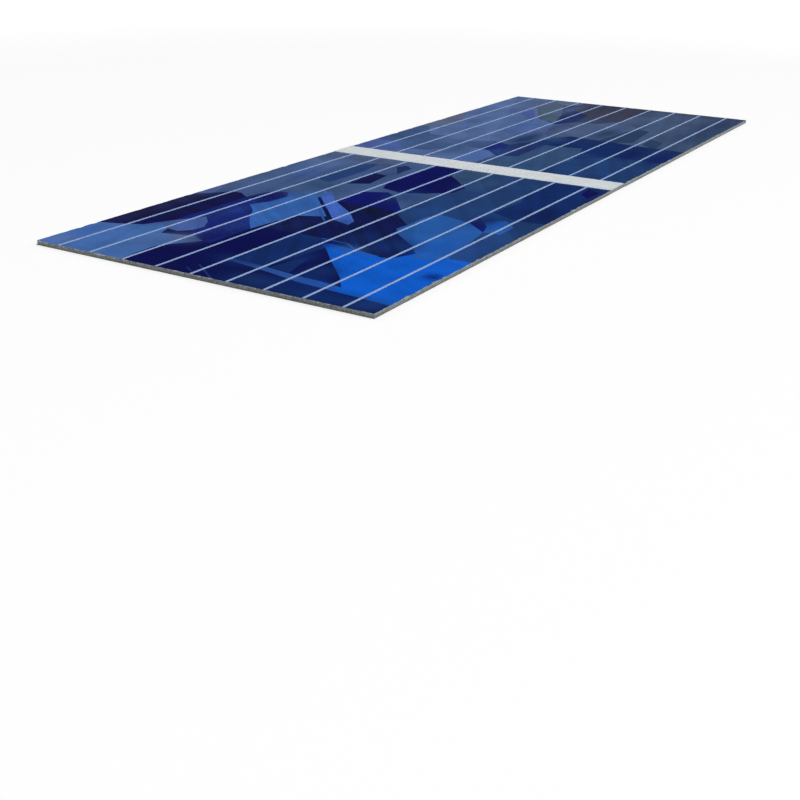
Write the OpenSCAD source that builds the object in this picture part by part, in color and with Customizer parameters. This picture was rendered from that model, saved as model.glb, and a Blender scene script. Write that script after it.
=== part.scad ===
// One small multicrystalline silicon solar cell, lying flat with its sunny side up.
// It is a piece cut out of a larger printed wafer: a thin silicon plate with a blue front,
// a printed silver grid on the front, and aluminium with a silver strip on the rear.
// +X runs along the cell, +Y across it, +Z out of the sunny side.
// The origin is the middle of the rear face, so the cell rests on z = 0.

/* [Cell] */
// Length of the cut piece, along the fingers
cell_l = 52; // [44:0.5:60]
// Width of the cut piece, along the busbar
cell_w = 19; // [17:0.5:23]
// Thickness of the silicon at its highest crystals
wafer_t = 0.18; // [0.12:0.01:0.3]

/* [Cut edge] */
// Depth of the laser score that the piece was snapped along, from the rear face
score_depth = 0.09; // [0.05:0.01:0.11]
// How far the score runs in under the edge at the rear face
score_run = 0.02; // [0.01:0.005:0.04]

/* [Etched front] */
// Step between one etch level of the crystals and the next
etch_step = 0.0015; // [0.001:0.0005:0.003]

/* [Fingers] */
// Number of thin silver lines along the cell
finger_count = 9; // [5:1:9]
// Distance from one line to the next
finger_pitch = 2; // [1.5:0.05:2.05]
// Width of a line
finger_w = 0.15; // [0.08:0.01:0.2]
// Height of a line's crown above the highest crystals
finger_h = 0.018; // [0.01:0.002:0.024]

/* [Busbar] */
// Width of the silver band across the middle of the front
busbar_w = 2; // [1:0.1:3]
// Height of the band above the highest crystals
busbar_h = 0.03; // [0.026:0.002:0.05]

/* [Rear contact] */
// Width of the silver strip across the middle of the rear
strip_w = 3.2; // [2:0.1:5]
// Thickness of the silver strip
strip_t = 0.014; // [0.008:0.002:0.02]
// Thickness of the strip at its long edges, where the wet paste ran thin
strip_edge_t = 0.004; // [0.002:0.001:0.006]
// Width of each thinning edge of the strip
strip_edge_w = 0.5; // [0.4:0.05:0.9]
// How far the aluminium laps over each thinning edge
strip_lap = 0.4; // [0.2:0.05:0.4]

/* [Rear aluminium] */
// Thickness of the aluminium paste on the rear
aluminium_t = 0.03; // [0.024:0.002:0.05]

/* [Hidden] */

// Heights of the layers, from the rear face up
silicon_z = aluminium_t;
front_z = silicon_z + wafer_t;
top_z = front_z + busbar_h;

// The deepest level that the acid reached, which the silver paste fills under a line
deepest_level = 6;
paste_root = deepest_level * etch_step;
// Silicon above the highest crystals that the etch takes off the whole sawn wafer
sawn_stock = 0.01;

// Tones of the crystals under their blue coat, as they catch the light
navy = [0.055, 0.055, 0.27];
steel = [0.27, 0.42, 0.66];
plum = [0.11, 0.06, 0.25];
lilac = [0.33, 0.42, 0.70];
royal = [0.07, 0.09, 0.45];
azure = [0.18, 0.39, 0.67];
twin_blue = [0.27, 0.43, 0.85];
slate = [0.29, 0.39, 0.59];
ink = [0.07, 0.08, 0.25];
teal = [0.12, 0.27, 0.50];
depth_blue = [0.09, 0.18, 0.42];
vivid = [0.06, 0.35, 0.85];
mid_blue = [0.14, 0.36, 0.69];
dusk = [0.28, 0.25, 0.35];
// Finishes of the bare silicon and of the printed pastes
silicon_grey = [0.44, 0.46, 0.47];
silver_white = [0.82, 0.83, 0.80];
silver_grey = [0.62, 0.64, 0.67];
aluminium_grey = [0.50, 0.51, 0.52];

// The crystals, drawn on a cell of this size and measured from its corner at -X, -Y.
// They run on past its edges, as they did in the larger wafer.
drawn_size = [52, 19];
// Each crystal is its etch level, its tone and its outline. Where two overlap, the deeper shows.
crystals = [
    [1, steel, [[-5, 22], [4.1, 22], [4.1, 19], [4.4, 18], [5, 16.8], [5.8, 16.4], [5.1, 15.3],
        [4.3, 15], [4.6, 13.8], [4.8, 13.3], [4.3, 12.4], [3.4, 13.1], [2.4, 13.7], [-5, 13.5]]],
    [2, plum, [[4.1, 22], [11.2, 22], [11.2, 19], [12, 18.2], [12.8, 17.6], [12.9, 16.9],
        [12.3, 16.1], [6.4, 16.1], [5.8, 16.4], [5, 16.8], [4.4, 18], [4.1, 19]]],
    [3, lilac, [[5.8, 16.4], [6.4, 16.1], [7.9, 15.2], [7.2, 14.5], [6.3, 14], [5.5, 14.1],
        [5, 14.6], [5.1, 15.3]]],
    [2, ink, [[4.3, 15], [5.1, 15.3], [5, 14.6], [5.5, 14.1], [4.7, 13.6], [4.6, 13.8]]],
    [4, royal, [[6.4, 16.1], [12.3, 16.1], [14.2, 15.7], [14.4, 14.8], [13.6, 14.3], [12.2, 14.4],
        [11.1, 14.9], [10.2, 14], [8.9, 13.2], [7.3, 11.9], [4.2, 11.9], [4.3, 12.4], [4.8, 13.3],
        [4.6, 13.8], [4.7, 13.6], [5.5, 14.1], [6.3, 14], [7.2, 14.5], [7.9, 15.2]]],
    [1, azure, [[7.3, 11.9], [8.9, 13.2], [10.2, 14], [11.1, 14.9], [12.2, 14.4], [13.6, 14.3],
        [14.4, 14.8], [15.8, 13.4], [15, 13], [12.9, 11.2], [11.3, 10.1], [10.6, 11.5]]],
    [2, ink, [[7.9, 6.2], [7.9, 11.8], [10.6, 11.5], [11.3, 10.1], [12.9, 11.2], [15, 13],
        [15.8, 12.8], [14.3, 11.6], [14.3, 9.3], [13.9, 7.5], [12.2, 5.8], [11.3, 5.9],
        [10.5, 5.3], [9.1, 3.7], [8.1, 2.9], [6.9, 3.4], [6.7, 3.9], [7.1, 5.6]]],
    [4, twin_blue, [[10.6, 8.3], [11.3, 8.4], [12.6, 9.5], [14.3, 11.6], [15.8, 12.8],
        [15.8, 13.4], [15, 13], [12.9, 11.2], [11, 9.5]]],
    [1, royal, [[14.3, 11.6], [16.8, 11.6], [17.5, 10.2], [16.8, 9.3], [14.7, 7.7], [13.9, 7.5],
        [14.3, 9.3]]],
    [3, slate, [[11.2, 22], [26.5, 22], [26.5, 7.6], [14.7, 7.7], [16.8, 9.3], [17.5, 10.2],
        [16.8, 11.6], [14.3, 11.6], [15.8, 12.8], [15.8, 13.4], [14.4, 14.8], [14.2, 15.7],
        [12.3, 16.1], [12.9, 16.9], [12.8, 17.6], [12, 18.2], [11.2, 19]]],
    [4, teal, [[12.2, 5.8], [13.9, 7.5], [14.7, 7.7], [26.5, 7.6], [26.5, -3], [8.3, -3],
        [8.3, 0.6], [8.2, 1.2], [9, 1.4], [12, 1.8], [13.1, 2], [14.3, 3.4], [14.9, 5.4],
        [14, 5.8]]],
    [1, mid_blue, [[8.1, 2.9], [9.1, 3.7], [10.5, 5.3], [11.3, 5.9], [12.2, 5.8], [14, 5.8],
        [14.9, 5.4], [14.3, 3.4], [13.1, 2], [12, 1.8], [9, 1.4], [8.2, 1.2], [7.6, 2],
        [7.4, 2.7]]],
    [3, vivid, [[1.1, -3], [1.2, 0], [1.4, 2], [1.5, 3.2], [2.1, 3], [3.2, 3.8], [4.9, 5.4],
        [6.6, 6.9], [7.1, 7.6], [7.3, 7], [7.1, 5.6], [6.7, 3.9], [6.9, 3.4], [8.1, 2.9],
        [7.4, 2.7], [7.6, 2], [8.2, 1.2], [8.3, 0.6], [8.3, -3]]],
    [4, azure, [[1.5, 3.2], [1.7, 5], [2.1, 6.8], [2.4, 8.4], [2.6, 9.5], [2.9, 9.5], [2.7, 7.4],
        [2.4, 5.5], [2.3, 4.2], [2.1, 3]]],
    [1, ink, [[2.7, 7.4], [2.9, 9.5], [7.9, 9.6], [7.9, 7.4], [7.1, 7.6], [6.6, 6.9]]],
    [2, teal, [[2.7, 7.2], [4.3, 7.0], [4.7, 6.5], [3.6, 6.3], [2.55, 6]]],
    [5, navy, [[18.2, 11], [19.2, 11.4], [26.5, 11.3], [26.5, 9.6], [23.3, 9.5], [22.1, 8.3],
        [20.8, 7.1], [19.5, 7.2], [18.4, 8.4], [17.8, 9.6]]],
    [5, royal, [[18, 13.3], [21.2, 13.5], [21, 12.5], [18.7, 12.2]]],
    [5, ink, [[21.7, 12.2], [23.3, 13.2], [24, 12.9], [23.4, 12.2]]],
    [6, royal, [[13.1, 2], [14.3, 3.4], [15.5, 3.4], [14.1, 2.3]]],
    [5, vivid, [[13.2, 1.1], [13.1, 2], [14.1, 2.3], [15.3, 3], [15.7, 2], [14.7, 1.1]]],
    [5, depth_blue, [[16.4, -3], [16, 1.6], [16.8, 3.3], [19.6, 3.1], [22, 3.7], [26.5, 3.3],
        [26.5, -3]]],
    [6, navy, [[22.4, 0.4], [23.2, 1.1], [24.6, 1.2], [24, 0.3]]],
    [6, azure, [[6.7, 4.1], [7, 5.6], [7.7, 6.5], [7.78, 8], [7.92, 8], [7.85, 6.4], [7.15, 5.5],
        [6.85, 4.1]]],
    [4, lilac, [[11.2, 22], [11.2, 19], [12, 18.2], [13.4, 18.6], [14.6, 22]]],
    [5, teal, [[17.6, 14.3], [18.2, 15.6], [22.8, 15.5], [23.6, 14.6], [21, 14.2]]],
    [6, lilac, [[22.2, 22], [21.6, 19], [22.6, 16.4], [24, 13.4], [26.5, 13], [26.5, 22]]],
    [1, lilac, [[26.5, 22], [30.2, 22], [30, 17.2], [28.4, 16], [26.5, 16.4]]],
    [2, teal, [[30.2, 22], [37.2, 22], [36, 18.2], [33.6, 16.8], [33.8, 13.6], [33, 13.3],
        [34.4, 11.7], [31.1, 11.7], [31.4, 12.7], [28.8, 14.4], [28.4, 16], [30, 17.2]]],
    [1, slate, [[33.6, 16.8], [36, 18.2], [38, 17], [37.2, 14.2], [34.8, 13], [33.8, 13.6]]],
    [4, azure, [[26.5, 16.4], [28.4, 16], [28.8, 14.4], [31.4, 12.7], [31, 10.9], [29.8, 9.8],
        [26.5, 10]]],
    [1, royal, [[31.4, 12.7], [33, 13.3], [34, 12], [33.4, 10.6], [31.6, 10.2], [31, 10.9]]],
    [2, ink, [[29.8, 9.8], [31, 10.9], [31.6, 10.2], [33.4, 10.6], [35.2, 9.9], [34.6, 8.6],
        [30.4, 8.5]]],
    [1, teal, [[26.5, 10], [29.8, 9.8], [30.4, 8.5], [34.6, 8.6], [35, 6], [31.6, 5.2],
        [26.5, 5.6]]],
    [3, royal, [[34.6, 8.6], [35.2, 9.9], [36.8, 9.15], [38.4, 8.4], [38.2, 6.2], [38, 4.8],
        [35, 4.6], [35, 6]]],
    [2, teal, [[26.5, 5.6], [31.6, 5.2], [33.6, 3.4], [33.2, -3], [26.5, -3]]],
    [4, navy, [[33.6, 3.4], [31.6, 5.2], [35, 6], [35, 4.6], [38, 4.8], [37.4, -3], [33.2, -3]]],
    [4, azure, [[34.8, 13], [37.2, 14.2], [38, 17], [44, 19.2], [44, 22], [58, 22], [58, 15.4],
        [48.6, 15.2], [43.6, 13], [42, 11.2], [38.6, 10.4], [36.8, 9.15], [35.2, 9.9],
        [33.4, 10.6], [34, 12], [33, 13.3], [33.8, 13.6]]],
    [3, slate, [[37.2, 22], [36, 18.2], [38, 17], [44, 19.2], [44, 22]]],
    [1, royal, [[42, 11.2], [43.6, 13], [48.6, 15.2], [50.6, 13], [48.2, 12.2], [46.8, 10.6],
        [43.8, 10.2]]],
    [4, dusk, [[43.8, 10.2], [46.8, 10.6], [48.2, 12.2], [50.6, 13], [58, 12.7], [58, 7],
        [46.2, 7.4], [44, 8.6]]],
    [2, slate, [[38.6, 10.4], [42, 11.2], [43.8, 10.2], [44, 8.6], [46.2, 7.4], [43.8, 5.6],
        [38.2, 6.2], [38.4, 8.4], [36.8, 9.15]]],
    [1, ink, [[38.2, 6.2], [43.8, 5.6], [43.2, 4.4], [38.8, 4], [38, 4.8]]],
    [3, teal, [[38, 4.8], [38.8, 4], [43.2, 4.4], [43.8, 5.6], [46.2, 7.4], [58, 7], [58, -3],
        [37.4, -3]]],
    [2, slate, [[48.6, 15.2], [58, 15.4], [58, 12.7], [50.6, 13]]],
    [5, slate, [[42.7, 11.5], [43.4, 13.1], [44.6, 13.7], [48.9, 15.8], [51, 15.2], [50, 14],
        [45.8, 12.3]]],
    [6, royal, [[41.9, 12.9], [44.7, 15.2], [46.9, 16], [46.4, 14.9], [43.6, 13.5]]],
    [5, ink, [[37.6, 2], [38.4, 3.2], [40.6, 3.3], [39.8, 2.2]]],
];

// Narrow straight twin crystals, measured from the same corner.
// Each is its etch level, its tone, its two ends and its width.
lamellae = [
    [5, ink, [10.9, 9.6], [14.5, 12.8], 0.2],
    [5, slate, [10.6, 9.75], [12.6, 11.55], 0.12],
    [3, steel, [-0.2, 8], [1.35, 10.1], 0.1],
    [2, steel, [0.35, 9.7], [0.75, 10.3], 0.08],
];

// The four corners of a straight band between two points.
function band(first, last, width) =
    let (run = last - first, side = [-run.y, run.x] * width / (2 * norm(run)))
    [first - side, last - side, last + side, first + side];

function finger_y(i) = (i - (finger_count + 1) / 2) * finger_pitch;

// A cross-section drawn in x and y, carried along X with its y as height.
module along_x(length)
    rotate([90, 0, 90]) linear_extrude(length, center = true) children();

// A cross-section drawn in x and y, carried along Y with its y as height.
module along_y(length)
    rotate([90, 0, 0]) linear_extrude(length, center = true) children();

// The side view of the cut piece: straight where it snapped, leaning in where the laser scored it.
module cut_section(width) {
    polygon([
        [-width / 2 + score_run, 0], [width / 2 - score_run, 0],
        [width / 2, score_depth], [width / 2, top_z],
        [-width / 2, top_z], [-width / 2, score_depth],
    ]);
}

// Everything inside the cut edges, between two heights.
module cut_piece(from_z, to_z) {
    intersection() {
        along_x(cell_l) cut_section(cell_w);
        along_y(cell_w) cut_section(cell_l);
        translate([-cell_l / 2, -cell_w / 2, from_z]) cube([cell_l, cell_w, to_z - from_z]);
    }
}

// What the etch takes away over one crystal.
module etched_off(level, tone, outline) {
    color(tone)
        translate([-drawn_size.x / 2, -drawn_size.y / 2, front_z - level * etch_step])
            linear_extrude(level * etch_step + 2 * sawn_stock) polygon(outline);
}

// The silicon plate. Its front steps down by a few thousandths of a millimetre from crystal to
// crystal, because the etch that dulls the front eats each crystal at its own rate.
module wafer() {
    difference() {
        color(silicon_grey) cut_piece(silicon_z, front_z + sawn_stock);
        color(navy) translate([-cell_l, -cell_w, front_z]) cube([2 * cell_l, 2 * cell_w, busbar_h]);
        for (c = crystals) etched_off(c[0], c[1], c[2]);
        for (c = lamellae) etched_off(c[0], c[1], band(c[2], c[3], c[4]));
    }
}

// A fired line of paste: a low dome on a root that reaches the deepest crystal under it.
module finger_section() {
    dome_r = (pow(finger_w / 2, 2) + pow(finger_h, 2)) / (2 * finger_h);
    intersection() {
        translate([0, finger_h - dome_r]) circle(r = dome_r, $fn = 64);
        translate([-finger_w / 2, 0]) square([finger_w, finger_h]);
    }
    translate([-finger_w / 2, -paste_root]) square([finger_w, paste_root]);
}

module finger_bar(i) {
    translate([0, finger_y(i), front_z]) along_x(cell_l) finger_section();
}

// One thin silver line, end to end. Its underside follows the steps of the crystals.
module finger(i) {
    color(silver_grey) difference() {
        finger_bar(i);
        wafer();
    }
}

// The band's section: flat, with long edges slumped to a quarter round of its own height.
module busbar_section() {
    flat_w = busbar_w - 2 * busbar_h;
    for (side = [-1, 1]) translate([side * flat_w / 2, 0]) intersection() {
        circle(r = busbar_h, $fn = 64);
        translate([-busbar_h, 0]) square([2 * busbar_h, busbar_h]);
    }
    translate([-flat_w / 2, 0]) square([flat_w, busbar_h]);
    translate([-busbar_w / 2, -paste_root]) square([busbar_w, paste_root]);
}

// The silver band that every line runs into, and that a ribbon is soldered to.
module front_busbar() {
    color(silver_white) difference() {
        translate([0, 0, front_z]) along_y(cell_w) busbar_section();
        wafer();
        for (i = [1:finger_count]) finger_bar(i);
    }
}

// The rear strip's section, hanging from the silicon: flat, and thinning out along its edges.
module strip_section() {
    flat_w = strip_w - 2 * strip_edge_w;
    polygon([
        [-strip_w / 2, 0], [-strip_w / 2, -strip_edge_t], [-flat_w / 2, -strip_t],
        [flat_w / 2, -strip_t], [strip_w / 2, -strip_edge_t], [strip_w / 2, 0],
    ]);
}

// The silver strip on the bare silicon of the rear, printed before the aluminium.
module rear_contact() {
    color(silver_grey) intersection() {
        cut_piece(0, silicon_z);
        translate([0, 0, silicon_z]) along_y(2 * cell_w) strip_section();
    }
}

// The aluminium on one side of the strip (side is -1 or 1). It laps over the strip's edge.
module rear_aluminium(side) {
    window_w = strip_w - 2 * strip_lap;
    color(aluminium_grey) difference() {
        cut_piece(0, silicon_z);
        rear_contact();
        translate([-window_w / 2, -cell_w, -top_z]) cube([window_w, 2 * cell_w, 3 * top_z]);
        translate([side > 0 ? -cell_l : 0, -cell_w, -top_z]) cube([cell_l, 2 * cell_w, 3 * top_z]);
    }
}

module rear_aluminium_1() { rear_aluminium(-1); }
module rear_aluminium_2() { rear_aluminium(1); }

wafer();
front_busbar();
for (i = [1:finger_count])
    finger(i);
rear_contact();
rear_aluminium_1();
rear_aluminium_2();
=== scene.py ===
# %% [markdown]
# # A small multicrystalline solar cell, lying flat
# The real object is a strip cut out of a larger printed wafer: a thin plate of silicon whose crystals
# shine in many blues, nine fine silver lines, one white silver band, and pastes on the rear.
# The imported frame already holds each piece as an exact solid. Here each one gets the finish and the
# small irregular shapes that the cutting, the etch and the printing leave on it.

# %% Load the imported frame
import math

import bpy
import numpy as np
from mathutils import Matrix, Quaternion, Vector
from mathutils.geometry import delaunay_2d_cdt


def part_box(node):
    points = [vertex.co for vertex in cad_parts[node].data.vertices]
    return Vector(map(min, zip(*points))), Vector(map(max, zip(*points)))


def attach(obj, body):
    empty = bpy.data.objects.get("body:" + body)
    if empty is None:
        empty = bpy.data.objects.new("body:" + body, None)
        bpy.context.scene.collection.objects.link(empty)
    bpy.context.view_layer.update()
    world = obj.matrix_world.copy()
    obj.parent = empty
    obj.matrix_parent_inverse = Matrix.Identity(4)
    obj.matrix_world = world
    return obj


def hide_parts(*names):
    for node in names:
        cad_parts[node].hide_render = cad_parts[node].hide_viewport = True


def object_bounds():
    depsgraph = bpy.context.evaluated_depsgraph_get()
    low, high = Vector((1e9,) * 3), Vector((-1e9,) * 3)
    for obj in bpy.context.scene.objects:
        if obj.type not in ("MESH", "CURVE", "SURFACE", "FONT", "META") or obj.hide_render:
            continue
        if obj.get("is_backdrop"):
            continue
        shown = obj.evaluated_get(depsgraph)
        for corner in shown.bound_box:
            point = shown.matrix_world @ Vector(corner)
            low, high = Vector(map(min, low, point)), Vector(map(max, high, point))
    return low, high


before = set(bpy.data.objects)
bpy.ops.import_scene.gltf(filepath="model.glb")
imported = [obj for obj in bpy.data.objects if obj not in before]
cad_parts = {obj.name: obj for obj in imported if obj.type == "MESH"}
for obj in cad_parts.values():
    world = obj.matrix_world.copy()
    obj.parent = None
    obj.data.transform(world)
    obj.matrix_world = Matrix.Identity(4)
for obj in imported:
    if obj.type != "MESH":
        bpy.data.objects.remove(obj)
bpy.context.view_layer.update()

MM = 0.001

# %% [markdown]
# ## The camera first
# The camera stands at one short end, a little above the cell, and looks along it towards the far
# corner. It could be turned with Euler angles, but a direction and a small roll are easier to read.
# The lens is given as the focal length in pixels of an 800 pixel frame, turned into millimetres.

# %% Camera
camera_data = bpy.data.cameras.new("camera")
camera_data.sensor_width = 36.0
focal_px, frame_px = 1149.2, 800
camera_data.lens = focal_px / frame_px * camera_data.sensor_width
camera_data.clip_start, camera_data.clip_end = 0.001, 10.0
camera = bpy.data.objects.new("camera", camera_data)
bpy.context.scene.collection.objects.link(camera)
bpy.context.scene.camera = camera

looks_along = Vector((0.7846, 0.4711, -0.4031))
roll = Quaternion((0, 0, 1), math.radians(0.77))
camera.location = Vector((-62.23, -32.49, 15.42)) * MM
camera.rotation_mode = "QUATERNION"
camera.rotation_quaternion = looks_along.to_track_quat("-Z", "Y") @ roll
print("camera lens", round(camera_data.lens, 2), "mm, at", [round(v / MM, 1) for v in camera.location])

# %% [markdown]
# ## Sizes
# No size is typed twice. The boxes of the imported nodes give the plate's half lengths, the height of
# its front and rear, and the places of the prints, in millimetres. A box can't tell how deep the
# crystals' steps and the laser's score go, or how the rear strip thins out, so those are typed here.

# %% Sizes read from the frame
def box_mm(node):
    """A node's lowest and highest corner, in millimetres."""
    return [np.array(corner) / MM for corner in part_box(node)]


plate_low, plate_high = box_mm("wafer")
half_x, half_y, front_z = plate_high
silicon_z = plate_low[2]
band_high = box_mm("front_busbar")[1]
strip_low, strip_high = box_mm("rear_contact")
deepest_step = 0.009
root_z = front_z - deepest_step
score_z, score_run = 0.09, 0.02
strip_edge_t, strip_edge_w = 0.004, 0.5
print("plate", np.round([2 * half_x, 2 * half_y], 3), "mm, silicon from", round(silicon_z, 3),
      "to", round(front_z, 3))

# %% [markdown]
# ## Smooth random values
# Broken edges and printed pastes are irregular but not jumpy. Random numbers at whole steps, joined
# by S-curves, give that on a line and on a plane. Each seed is fixed, so every run is the same.

# %% Random helpers
def wander(t, seed, wrap=4096):
    """A random value from -1 to 1 at each whole t, joined by S-curves, repeating after wrap steps."""
    values = np.random.default_rng(seed).uniform(-1, 1, wrap)
    whole = np.floor(t).astype(int)
    part = t - whole
    part = part * part * (3 - 2 * part)
    return values[whole % wrap] * (1 - part) + values[(whole + 1) % wrap] * part


def hills(x, y, seed):
    """The same on a plane: random values at whole x and y, joined by S-curves both ways."""
    wrap = 256
    values = np.random.default_rng(seed).uniform(-1, 1, (wrap, wrap))
    i, j = np.floor(x).astype(int), np.floor(y).astype(int)
    u, v = x - i, y - j
    u, v = u * u * (3 - 2 * u), v * v * (3 - 2 * v)
    i, next_i, j, next_j = i % wrap, (i + 1) % wrap, j % wrap, (j + 1) % wrap
    near = values[i, j] * (1 - u) + values[next_i, j] * u
    far = values[i, next_j] * (1 - u) + values[next_i, next_j] * u
    return near * (1 - v) + far * v


print("random values look like", np.round(wander(np.arange(0, 2, 0.25), 1), 2))

# %% [markdown]
# ## From arrays to a piece
# Every piece is worked out in millimetres as arrays. This helper turns them into a mesh in metres,
# which rides on the cell and stands for its imported node, whose mesh it hides.
# The second helper joins the points of a grid into four-sided faces.

# %% Mesh helpers
def make_piece(name, points, faces, materials, node, smooth_below=50):
    """A mesh of points in mm and faces, shaded smooth over edges flatter than smooth_below degrees."""
    mesh = bpy.data.meshes.new(name)
    mesh.from_pydata((points * MM).tolist(), [], faces)
    for material in materials:
        mesh.materials.append(material)
    mesh.polygons.foreach_set("use_smooth", np.ones(len(mesh.polygons), bool))
    mesh.set_sharp_from_angle(angle=math.radians(smooth_below))
    mesh.update()
    piece = bpy.data.objects.new(name, mesh)
    bpy.context.scene.collection.objects.link(piece)
    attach(piece, "root")
    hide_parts(node)
    print(name, "has", len(points), "points and", len(faces), "faces")
    return piece


def grid_faces(rows, columns, first=0):
    """The four-sided faces of a grid of points that is counted row by row."""
    corner = first + (np.arange(rows - 1)[:, None] * columns + np.arange(columns - 1)).ravel()
    return np.stack([corner, corner + columns, corner + columns + 1, corner + 1], 1)


print("a grid of 3 x 4 points has", len(grid_faces(3, 4)), "faces")

# %% [markdown]
# ## A short way to write materials
# A material is a tree of nodes. Most nodes need a type, some settings and some inputs, so one helper
# takes all three. An input that is another node's output is linked, and any other value is typed in.

# %% Node helpers
def new_material(name, **shader_inputs):
    """A material with one Principled shader, whose constant inputs are set on its own sockets."""
    material = bpy.data.materials.new(name)
    material.use_nodes = True
    shader = material.node_tree.nodes["Principled BSDF"]
    for key, value in shader_inputs.items():
        shader.inputs[key.replace("_", " ")].default_value = value
    return material, material.node_tree, shader


def add(tree, kind, inputs=None, **settings):
    """A new node of this kind; inputs maps a socket's name or number to a value or an output."""
    node = tree.nodes.new(kind)
    for key, value in settings.items():
        setattr(node, key, value)
    for key, value in (inputs or {}).items():
        if isinstance(value, bpy.types.NodeSocket):
            tree.links.new(value, node.inputs[key])
        else:
            node.inputs[key].default_value = value
    return node


def calc(tree, operation, *values):
    """One step of arithmetic with single numbers."""
    return add(tree, "ShaderNodeMath", dict(enumerate(values)), operation=operation).outputs[0]


def scaled(tree, vector, factor):
    """A colour or a place times one factor."""
    return add(tree, "ShaderNodeVectorMath", {0: vector, 3: factor}, operation="SCALE").outputs[0]


def dot(tree, one, other):
    """The dot product of two vectors."""
    return add(tree, "ShaderNodeVectorMath", {0: one, 1: other}, operation="DOT_PRODUCT").outputs["Value"]


def place_mm(tree):
    """Object coordinates in millimetres."""
    return scaled(tree, add(tree, "ShaderNodeTexCoord").outputs["Object"], 1 / MM)


def noise(tree, where, per_mm, detail, rough=0.5):
    """Cloudy values from 0 to 1, with about per_mm clouds to the millimetre."""
    inputs = {"Vector": where, "Scale": per_mm, "Detail": detail, "Roughness": rough}
    return add(tree, "ShaderNodeTexNoise", inputs).outputs["Fac"]


def spread(tree, value, low, high, start=0.3, end=0.7):
    """Carries a value that runs from start to end over to a range from low to high."""
    inputs = {"Value": value, "From Min": start, "From Max": end, "To Min": low, "To Max": high}
    return add(tree, "ShaderNodeMapRange", inputs).outputs["Result"]


def times(tree, *values):
    """The product of several values."""
    product = values[0]
    for value in values[1:]:
        product = calc(tree, "MULTIPLY", product, value)
    return product


def bump(tree, height, distance_mm, strength=1.0, normal=None):
    """A bump whose height runs over distance_mm."""
    inputs = {"Height": height, "Distance": distance_mm * MM, "Strength": strength}
    if normal:
        inputs["Normal"] = normal
    return add(tree, "ShaderNodeBump", inputs).outputs["Normal"]


def linear(*screen):
    """A screen colour from 0 to 255 as the linear light that Blender works in."""
    value = np.array(screen, float) / 255
    return tuple(np.where(value < 0.04045, value / 12.92, ((value + 0.055) / 1.055) ** 2.4)) + (1.0,)


print("mid grey 128 is", round(linear(128, 128, 128)[0], 3), "in linear light")

# %% [markdown]
# ## The finish of the crystals
# Under a coat of nitride each crystal shows its own blue, because the acid etch leaves each one with
# its own slope of tiny pits. The tone comes from an attribute of the mesh, which the next cells fill.
# Three things vary it as on the real cell: soft clouds where the coat is thicker, a fine grain from
# the pits, and straight twin bands in some crystals. A small tilt of the normal makes each crystal
# catch a lamp at its own angle. All of it could be painted, but nodes stay sharp at any distance.
# The twin attribute holds two things: across the bands it points along X and Y, as long as there are
# bands to the millimetre, and its Z is their strength. The dot product with a place counts the bands.

# %% Material of the coated front
coat, tree, shader = new_material("blue_nitride_front", Metallic=0.0, Specular_IOR_Level=0.06)
where = place_mm(tree)
tone = add(tree, "ShaderNodeAttribute", attribute_name="tone").outputs["Color"]
twin = add(tree, "ShaderNodeAttribute", attribute_name="twin").outputs["Vector"]
across = dot(tree, where, twin)
bands = add(tree, "ShaderNodeTexNoise", {"W": across, "Scale": 1.0, "Detail": 2.0}, noise_dimensions="1D")
strength = dot(tree, twin, (0, 0, 1))
striped = calc(tree, "MULTIPLY_ADD", spread(tree, bands.outputs["Fac"], -1, 1, 0.46, 0.54), strength, 1.0)
clouds = spread(tree, noise(tree, where, 0.4, 3, 0.55), 0.86, 1.14)
grain = spread(tree, noise(tree, where, 9, 3, 0.6), 0.9, 1.1)
shade = times(tree, striped, clouds, grain)
tree.links.new(scaled(tree, tone, shade), shader.inputs["Base Color"])
tree.links.new(spread(tree, noise(tree, where, 5, 3), 0.34, 0.5), shader.inputs["Roughness"])
tilt = add(tree, "ShaderNodeAttribute", attribute_name="tilt").outputs["Vector"]
level = add(tree, "ShaderNodeNewGeometry").outputs["Normal"]
leaning = add(tree, "ShaderNodeVectorMath", {0: level, 1: tilt}, operation="ADD").outputs[0]
leaning = add(tree, "ShaderNodeVectorMath", {0: leaning}, operation="NORMALIZE").outputs[0]
tree.links.new(bump(tree, noise(tree, where, 14, 2), 0.0015, 0.5, leaning), shader.inputs["Normal"])
print("front material has", len(tree.nodes), "nodes")

# %% [markdown]
# ## The finish of the cut edge
# Where the plate was scored and snapped, the silicon is bare: grey, with small broken facets, and a
# darker, melted zone where the laser ran. Voronoi cells paint each facet lighter or darker, a painted
# glint for facets that catch or miss the lamps, and height above the rear tells the two zones apart.

# %% Material of the bare silicon
bare, tree, shader = new_material("bare_silicon", Metallic=0.0, Specular_IOR_Level=0.5)
where = place_mm(tree)
facets = add(tree, "ShaderNodeTexVoronoi", {"Vector": where, "Scale": 16.0, "Randomness": 1.0})
facet = add(tree, "ShaderNodeSeparateColor", {0: facets.outputs["Color"]}).outputs[0]
# painted glint: each facet's base colour is lightened or darkened as if it caught a lamp or missed it
painted_glint = spread(tree, facet, 0.62, 1.5, 0.0, 1.0)
streaks = spread(tree, noise(tree, where, 3, 4, 0.6), 0.75, 1.25)
height = add(tree, "ShaderNodeSeparateXYZ", {0: where}).outputs["Z"]
melted = spread(tree, height, 0.62, 1.0, score_z - 0.015, score_z + 0.02)
shade = times(tree, painted_glint, streaks, melted)
tree.links.new(scaled(tree, linear(150, 156, 153)[:3], shade), shader.inputs["Base Color"])
tree.links.new(spread(tree, facet, 0.25, 0.6, 0, 1), shader.inputs["Roughness"])
tree.links.new(bump(tree, noise(tree, where, 30, 3), 0.004), shader.inputs["Normal"])
print("edge material has", len(tree.nodes), "nodes")

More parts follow.
